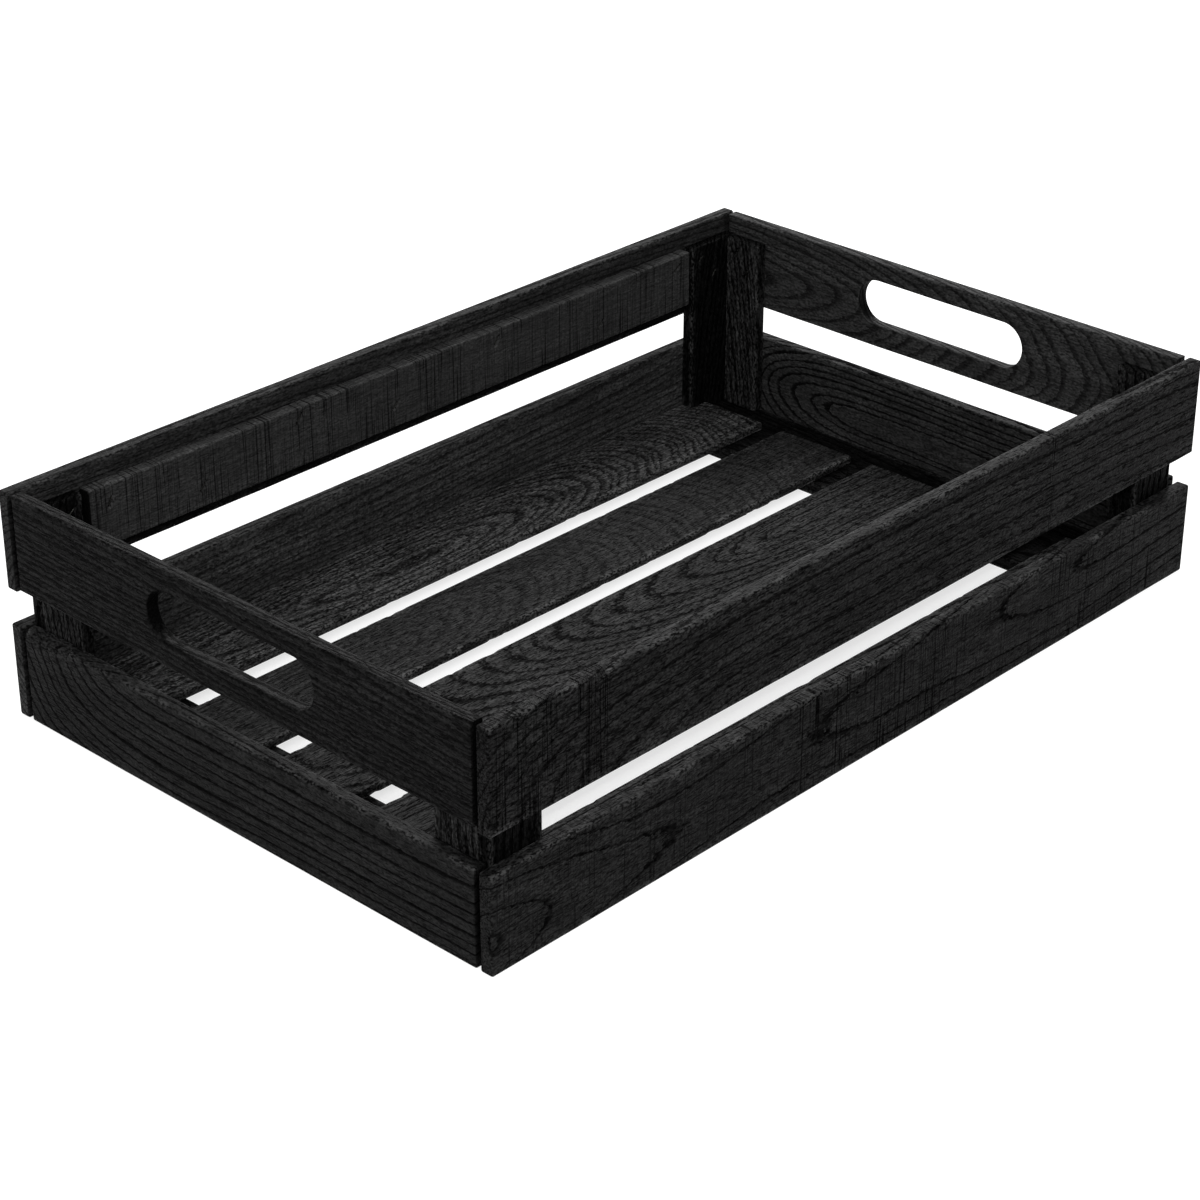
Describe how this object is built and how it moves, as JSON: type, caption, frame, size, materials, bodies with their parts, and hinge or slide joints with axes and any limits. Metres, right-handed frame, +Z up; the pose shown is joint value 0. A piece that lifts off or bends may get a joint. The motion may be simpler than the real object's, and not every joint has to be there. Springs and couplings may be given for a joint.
{
  "type": "slatted wooden crate",
  "caption": "Shallow slatted wooden crate with open two-board sides, hand holes in the ends, inner corner posts and ledgers that carry a tray, and a slatted floor.",
  "frame": {"origin": "centre of the rectangular footprint, on the plane the crate rests on", "axes": "+X along the long sides towards the right end, +Y from the front long side to the back one, +Z up to the open rim"},
  "size_m": [0.555, 0.35, 0.13],
  "materials": {
    "wall_boards": "black open-pore stain, satin",
    "corner_posts": "black open-pore stain, satin",
    "ledgers": "black stain over a band-sawn face",
    "cross_battens": "black stain, matt",
    "floor_slats": "thin black stain, grain showing, matt",
    "staples": "steel wire dulled by stain"
  },
  "bodies": {
    "root": {"front_board_lower": "wall_boards", "front_board_upper": "wall_boards", "back_board_lower": "wall_boards", "back_board_upper": "wall_boards", "left_end_board_lower": "wall_boards", "left_end_board_upper": "wall_boards", "right_end_board_lower": "wall_boards", "right_end_board_upper": "wall_boards", "post_front_left_long": "corner_posts", "post_front_left_end": "corner_posts", "post_front_right_long": "corner_posts", "post_front_right_end": "corner_posts", "post_back_left_long": "corner_posts", "post_back_left_end": "corner_posts", "post_back_right_long": "corner_posts", "post_back_right_end": "corner_posts", "ledger_front": "ledgers", "ledger_back": "ledgers", "cross_batten_left": "cross_battens", "cross_batten_right": "cross_battens", "floor_slat_1": "floor_slats", "floor_slat_2": "floor_slats", "floor_slat_3": "floor_slats", "floor_slat_4": "floor_slats", "floor_slat_5": "floor_slats", "staple_post_front_left_long_1": "staples", "staple_post_front_left_long_2": "staples", "staple_post_front_left_end_1": "staples", "staple_post_front_left_end_2": "staples", "staple_post_front_right_long_1": "staples", "staple_post_front_right_long_2": "staples", "staple_post_front_right_end_1": "staples", "staple_post_front_right_end_2": "staples", "staple_post_back_left_long_1": "staples", "staple_post_back_left_long_2": "staples", "staple_post_back_left_end_1": "staples", "staple_post_back_left_end_2": "staples", "staple_post_back_right_long_1": "staples", "staple_post_back_right_long_2": "staples", "staple_post_back_right_end_1": "staples", "staple_post_back_right_end_2": "staples", "staple_ledger_front_1": "staples", "staple_ledger_front_2": "staples", "staple_ledger_front_3": "staples", "staple_ledger_front_4": "staples", "staple_ledger_front_5": "staples", "staple_ledger_front_6": "staples", "staple_ledger_front_7": "staples", "staple_ledger_back_1": "staples", "staple_ledger_back_2": "staples", "staple_ledger_back_3": "staples", "staple_ledger_back_4": "staples", "staple_ledger_back_5": "staples", "staple_ledger_back_6": "staples", "staple_ledger_back_7": "staples"}
  },
  "joints": []
}
